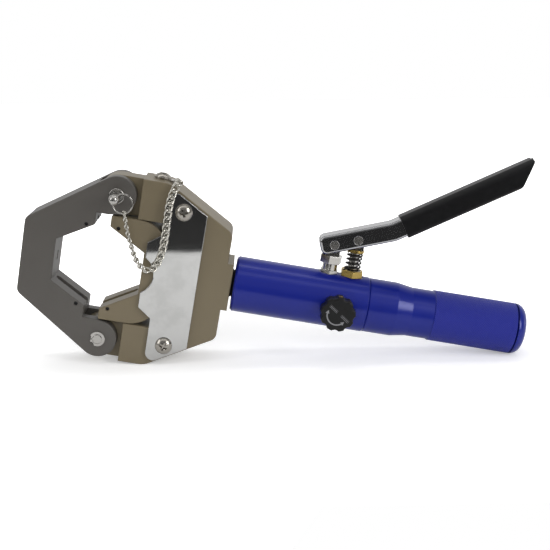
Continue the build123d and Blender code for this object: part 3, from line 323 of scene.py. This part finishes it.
# Knob: moulded black with a printed turn arrow and two short rows of plain ticks
knob = {
    "color": (0.005, 0.005, 0.005), "print": (0.2, 0.2, 0.21), "front": 31.9, "fade": 0.1,
    "lumps": (900, 3), "rough": 0.42, "swing": 0.12, "gloss": 0.3,
    "depth": 0.00003, "strength": 0.4, "edge": 0.0006,
}
arrow = {"at": (-0.9, -0.5), "radius": 7.4, "line": 0.5, "from": 164, "to": 296, "head": 1.5, "long": 2.6}
ticks = {"rows": ((-3.2, 4.6), (5.0, -3.5)), "lean": -45, "gap": 1.05, "count": 7, "long": 1.1, "line": 0.32}
knobAxis = Vector(joints["release_turn"]["pos_m"])
shader = newShader("knob_plastic", Specular_IOR_Level=knob["gloss"])
lump = shader.noise(*knob["lumps"])
across = shader.along(sceneX, knobAxis)
upward = shader.along(sceneZ, knobAxis)
besideArc = across - arrow["at"][0]
aboveArc = upward - arrow["at"][1]
radius = (besideArc * besideArc + aboveArc * aboveArc).math("SQRT")
turn = (aboveArc.math("ARCTAN2", besideArc) * (180 / math.pi) + 360).math("FLOORED_MODULO", 360)
offArc = abs(radius - arrow["radius"])
printed = (offArc < arrow["line"]) * (turn > arrow["from"]) * (turn < arrow["to"])
perDegree = math.radians(1) * arrow["radius"]
for ahead in ((turn - arrow["to"]) * perDegree, (arrow["from"] - turn) * perDegree):
    point = (offArc < (arrow["long"] - ahead) * (arrow["head"] / arrow["long"])) * (ahead > 0)
    printed = printed.math("MAXIMUM", point)
cosine = math.cos(math.radians(ticks["lean"]))
sine = math.sin(math.radians(ticks["lean"]))
halfRow = ticks["gap"] * ticks["count"] / 2
for x, z in ticks["rows"]:
    forward = (across - x) * cosine + (upward - z) * sine
    beside = (upward - z) * cosine - (across - x) * sine
    stroke = abs((forward * (1 / ticks["gap"])).math("FRACT") - 0.5) < ticks["line"] / 2
    row = stroke * (abs(forward) < halfRow) * (abs(beside) < ticks["long"])
    printed = printed.math("MAXIMUM", row)
facing = shader.along(-toolY).smooth(knob["front"], knob["front"] + knob["fade"])
shader.set(
    Base_Color=shader.mix(printed * facing, knob["color"], knob["print"]),
    Roughness=lump.about(knob["rough"], knob["swing"]),
    Normal=shader.bump(lump, knob["depth"], knob["strength"], knob["edge"]),
)

slotOf = {part["node"]: part["material_slot"] for part in frame["record"]["subparts"]}
for name, node in nodes.items():
    node.data.materials.clear()
    node.data.materials.append(materials[slotOf[name]])
print("materials:", len(materials))

# Chain from the split ring to the eyelet: twisted curb links along a smooth line
chain = {
    "links": 26, "wire": 1.45, "width": 4.7, "length": 7.3, "twist": 46, "square": 4, "across": 6.4,
    "around": 8, "loop": 28,
}
chainRoll = {"ring": 80, "hang": 0, "from": 0.15, "rate": 2.4}
chainBlend = {"head": (51, -20, 20), "pin": (21, -20, 20)}
chainCurve = {"order": 3, "steps": 24}
chainRoute = [
    (20.0, -26.1, 46.1), (23.4, -25.8, 34.5), (28.9, -25.3, 20.7), (34.9, -24.9, 9.2), (42.2, -24.9, 4.3),
    (48.1, -24.2, 7.0), (51.4, -24.1, 16.6), (52.2, -23.9, 29.4), (51.9, -23.6, 43.4), (51.6, -23.6, 56.4),
    (52.6, -23.4, 64.4), (54.6, -22.9, 70.6), (56.8, -17.7, 74.6), (56.0, -10.0, 73.5), (54.4, -6.0, 72.2),
]


def smoothLine(points):
    curve = bpy.data.curves.new("route", "CURVE")
    curve.dimensions = "3D"
    spline = curve.splines.new("NURBS")
    spline.points.add(len(points) - 1)
    for control, point in zip(spline.points, points):
        control.co = (*point, 1)
    spline.order_u = chainCurve["order"]
    spline.use_endpoint_u = True
    spline.resolution_u = chainCurve["steps"]
    carrier = addObject("route", curve)
    depsgraph = bpy.context.evaluated_depsgraph_get()
    mesh = bpy.data.meshes.new_from_object(carrier.evaluated_get(depsgraph))
    line = np.array([vertex.co for vertex in mesh.vertices])
    bpy.data.objects.remove(carrier)
    bpy.data.meshes.remove(mesh)
    return line


def evenPoints(line, count):
    # Points on the line that lie one straight step apart, so that links meet end to end.
    samples, halvings, shortest = 6000, 24, 0.7
    steps = np.linalg.norm(np.diff(line, axis=0), axis=1)
    lengths = np.concatenate([[0], np.cumsum(steps)])
    dense = np.linspace(0, lengths[-1], samples)
    fine = np.stack([np.interp(dense, lengths, line[:, axis]) for axis in range(3)], 1)
    low, high = shortest * lengths[-1] / count, lengths[-1] / count
    for halving in range(halvings):
        pitch = (low + high) / 2
        found = [fine[0]]
        for point in fine:
            if np.linalg.norm(point - found[-1]) >= pitch:
                found.append(point)
        if len(found) > count:
            low, kept = pitch, found
        else:
            high = pitch
    return np.array(kept[:count + 1]), lengths[-1]


def linkLoop(look):
    # Middle line of one link: an oval with straight sides, twisted about its length.
    half = (look["length"] - look["width"]) / 2
    bend = look["width"] / 2
    twisted = []
    for i in range(look["loop"]):
        angle = 2 * math.pi * i / look["loop"]
        shift = half * math.copysign(min(1, abs(math.cos(angle)) * look["square"]), math.cos(angle))
        x, y = bend * math.cos(angle) + shift, bend * math.sin(angle)
        turn = math.radians(look["twist"]) * x / (half + bend)
        twisted.append((x, y * math.cos(turn), y * math.sin(turn)))
    return np.array(twisted) / 1000


def tubeRound(loop, wire, around):
    # A round wire that follows a closed loop.
    count = len(loop)
    points, faces = [], []
    for i in range(count):
        tangent = loop[(i + 1) % count] - loop[i - 1]
        tangent /= np.linalg.norm(tangent)
        outward = loop[i] - loop.mean(0)
        outward -= tangent * outward.dot(tangent)
        outward /= np.linalg.norm(outward)
        side = np.cross(tangent, outward)
        here, ahead = i * around, (i + 1) % count * around
        for j in range(around):
            angle = 2 * math.pi * j / around
            points.append(loop[i] + wire / 2 * (outward * math.cos(angle) + side * math.sin(angle)))
            beside = (j + 1) % around
            faces.append((here + j, here + beside, ahead + beside, ahead + j))
    return np.array(points), faces


chainLine = smoothLine([toolPoint(*point) for point in chainRoute])
linkEnds, chainLength = evenPoints(chainLine, chain["links"])
linkPoints, linkFaces = tubeRound(linkLoop(chain), chain["wire"] / 1000, chain["around"])
chainPoints, chainFaces = [], []
normal = np.array((0.0, -1.0, 0.0))
for i, (start, end) in enumerate(zip(linkEnds, linkEnds[1:])):
    forward = (end - start) / np.linalg.norm(end - start)
    normal = normal - forward * normal.dot(forward)
    normal /= np.linalg.norm(normal)
    side = np.cross(normal, forward)
    hung = min(1, max(0, i / chain["links"] - chainRoll["from"]) * chainRoll["rate"])
    roll = math.radians(chainRoll["ring"] + (chainRoll["hang"] - chainRoll["ring"]) * hung)
    flat = side * math.cos(roll) + normal * math.sin(roll)
    upright = normal * math.cos(roll) - side * math.sin(roll)
    base = len(chainPoints)
    middle = (start + end) / 2
    for x, y, z in linkPoints:
        chainPoints.append(middle + forward * x + flat * y + upright * z)
    chainFaces += [tuple(base + index for index in face) for face in linkFaces]
mesh = bpy.data.meshes.new("pinChain")
mesh.from_pydata([tuple(point) for point in chainPoints], [], chainFaces)
mesh.update()
mesh.polygons.foreach_set("use_smooth", [True] * len(mesh.polygons))
mesh.materials.append(materials["chain_nickel"])
chainObject = addObject("pinChain", mesh)
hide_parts("pin_chain")
blendStart, blendEnd = toolPoint(*chainBlend["head"]), toolPoint(*chainBlend["pin"])
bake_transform(chainObject)
print("chain:", round(chainLength * 1000, 1), "mm")

# Springs are copies of the CAD coils carried by the handle; their joints, feet and the share they keep are listed,
# but nothing here shortens them
springs = {
    "plungerSpring": {
        "node": "plunger_spring", "joint": "plunger_stroke", "axis": toolZ,
        "foot": (197.2, 0, 22.95), "keep": 0.59,
    },
    "returnSpring": {
        "node": "return_spring", "joint": "ram_slide", "axis": toolX,
        "foot": (114.55, 0, 0), "keep": 0.657,
    },
}
for name, look in springs.items():
    obj = addObject(name, nodes[look["node"]].data.copy())
    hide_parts(look["node"])
    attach(obj, "handle")
    toolPoint(*look["foot"])
    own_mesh(obj)
print("springs:", len(springs))

# Floor: pale, ending a little in front of the tool, nearer on the handle's side, where the room stays dark
floorLook = {
    "color": (0.92, 0.92, 0.92), "side": 2.2, "back": 2.4, "headFront": -0.40, "handleFront": -0.25,
    "step": (-0.04, 0.02), "lift": 0.3, "shadow": (190, 420), "squeeze": 2.2, "rough": 0.9, "gloss": 0.1,
}
sideEdge, backEdge = floorLook["side"], floorLook["back"]
rim = [(-sideEdge, floorLook["headFront"]), (floorLook["step"][0], floorLook["headFront"])]
rim += [(floorLook["step"][1], floorLook["handleFront"]), (sideEdge, floorLook["handleFront"])]
rim += [(sideEdge, backEdge), (-sideEdge, backEdge)]
mesh = bpy.data.meshes.new("floor")
mesh.from_pydata([(x, y, 0) for x, y in rim], [], [tuple(range(len(rim)))])
floor = addObject("floor", mesh)
shader = newShader("floor", Roughness=floorLook["rough"], Specular_IOR_Level=floorLook["gloss"])
seen = shader.node("ShaderNodeLightPath", {})
middle = Vector((0, 0, 0))
spread = shader.along(sceneX, middle)
depth = shader.along(sceneY, middle)
away = (spread * spread + depth * depth * floorLook["squeeze"]).math("SQRT").smooth(*floorLook["shadow"])
lift = shader.mix(away, grey(floorLook["lift"]), grey(1))
shader.set(
    Base_Color=floorLook["color"],
    Emission_Color=shader.mix(seen, grey(0), lift),
    Emission_Strength=1.0,
)
mesh.materials.append(materials["floor"])

# World: white where the camera looks past the floor; the room is brightest behind and dark below
room = {"up": 0.32, "front": 0.2, "behind": 0.85, "down": 0.045}
roomTurns = {"rearward": (-0.3, 0.7), "upward": (0.5, 0.8), "horizon": (-0.06, 0.02)}
world = bpy.data.worlds.new("studio")
bpy.context.scene.world = world
world.use_nodes = True
world.node_tree.nodes.clear()
sky = Shader(world.node_tree)
direction = sky.node("ShaderNodeTexCoord", {}, out=0)
height = sky.node("ShaderNodeSeparateXYZ", {}, direction, out=2)
rearward = sky.node("ShaderNodeSeparateXYZ", {}, direction, out=1)
level = sky.mix(rearward.smooth(*roomTurns["rearward"]), grey(room["front"]), grey(room["behind"]))
above = sky.mix(height.smooth(*roomTurns["upward"]), level, grey(room["up"]))
tone = sky.mix(height.smooth(*roomTurns["horizon"]), grey(room["down"]), above)
shown = sky.mix(sky.node("ShaderNodeLightPath", {}), tone, grey(1))
backdrop = sky.node("ShaderNodeBackground", {}, shown, 1.0)
output = world.node_tree.nodes.new("ShaderNodeOutputWorld")
world.node_tree.links.new(backdrop.socket, output.inputs["Surface"])
print("floor and room made")

# Soft boxes: two large ones that give no reflections, one left, two right, and strips for the streaks
boxes = {
    "overhead": {"at": (-0.1, 0.35, 1.2), "aim": (0, 0, 0.05), "size": (1.5, 0.9), "power": 3.5},
    "front": {"at": (-0.1, -1.7, 0.9), "aim": (0, 0, 0.08), "size": (1.4, 0.8), "power": 9},
    "left": {"at": (-1.1, -0.55, 0.7), "aim": (-0.1, 0, 0.08), "size": (0.5, 0.9), "power": 3.2},
    "right": {"at": (0.89, -0.88, 0.57), "aim": (0.1, 0, 0.04), "size": (0.4, 0.7), "power": 6.8},
    "side": {"at": (1.5, 0.2, 0.12), "aim": (0.17, 0, 0.03), "size": (0.3, 0.3), "power": 1.0},
    "strip": {"at": (0.0, 0.16, 1.25), "aim": (0, 0.0, 0.05), "size": (1.6, 0.2), "power": 2.3},
    "nearStrip": {"at": (0.0, -0.62, 1.2), "aim": (0, 0, 0.05), "size": (1.6, 0.3), "power": 1.5},
}
notMirrored = ("overhead", "front")
for name, look in boxes.items():
    lamp = bpy.data.lights.new(name, "AREA")
    lamp.shape = "RECTANGLE"
    lamp.size, lamp.size_y = look["size"]
    lamp.energy = look["power"]
    obj = addObject(name, lamp)
    obj.location = look["at"]
    obj.visible_glossy = name not in notMirrored
    obj.rotation_euler = (Vector(look["aim"]) - Vector(look["at"])).to_track_quat("-Z", "Y").to_euler()
print("soft boxes:", len(boxes))

# Camera, as in the photo: it looks down on the tool and a little from the left, in the tool's own frame
view = {"aim": (139.1, 0.0, 11.6), "away": 800, "above": 13.83, "left": 3.52, "roll": 10.1}
lens = {"focal": 67.7, "sensor": 36}
camera = addObject("camera", bpy.data.cameras.new("camera"))
camera.data.lens = lens["focal"]
camera.data.sensor_width = lens["sensor"]
above, left, roll = (math.radians(view[name]) for name in ("above", "left", "roll"))
toolTurn = Matrix((toolX, toolY, toolZ)).transposed()
back = Vector((-math.sin(left) * math.cos(above), -math.cos(left) * math.cos(above), math.sin(above)))
right = Vector((math.cos(left), -math.sin(left), 0))
turned = Matrix((right, back.cross(right), back)).transposed() @ Matrix.Rotation(roll, 3, "Z")
camera.rotation_euler = (toolTurn @ turned).to_euler()
camera.location = toolPoint(*view["aim"]) + toolTurn @ back * view["away"] / 1000
bpy.context.scene.camera = camera
bpy.context.scene.view_settings.view_transform = "Standard"
print("camera placed")
